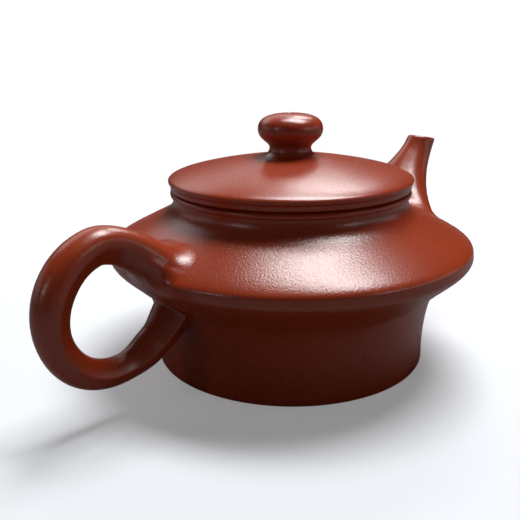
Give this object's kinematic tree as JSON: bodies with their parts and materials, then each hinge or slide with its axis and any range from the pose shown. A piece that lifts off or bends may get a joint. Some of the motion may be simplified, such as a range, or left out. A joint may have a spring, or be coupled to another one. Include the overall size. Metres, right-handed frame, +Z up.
{
  "type": "clay teapot",
  "caption": "Round unglazed clay teapot: waisted body with a collared mouth, loose domed lid with a knob, short upright spout with a strainer behind it, and a ring handle.",
  "frame": {"origin": "centre of the flat resting face under the base", "axes": "+Z up along the body's axis, +X towards the spout, -X towards the handle"},
  "size_m": [0.1384, 0.0952, 0.0642],
  "materials": {
    "pot_clay": "unglazed red-brown clay, burnished to a soft sheen, fine grain",
    "lid_clay": "unglazed red-brown clay, burnished to a soft sheen, fine grain",
    "inner_clay": "unglazed red-brown clay, matt and unburnished"
  },
  "bodies": {
    "pot": {"base_disc": "pot_clay", "waist_wall": "pot_clay", "lower_bowl": "pot_clay", "shoulder_dome": "pot_clay", "neck_collar": "pot_clay", "mouth_bead": "pot_clay", "spout": "pot_clay", "strainer": "inner_clay", "handle": "pot_clay"},
    "lid": {"lid_seat": "lid_clay", "lid_dome": "lid_clay", "lid_flange": "inner_clay", "knob": "lid_clay"}
  },
  "joints": [
    {"name": "lid_lift", "type": "slide", "parent": "pot", "child": "lid", "axis": [0, 0, 1], "range_m": [0, 0.06]}
  ]
}
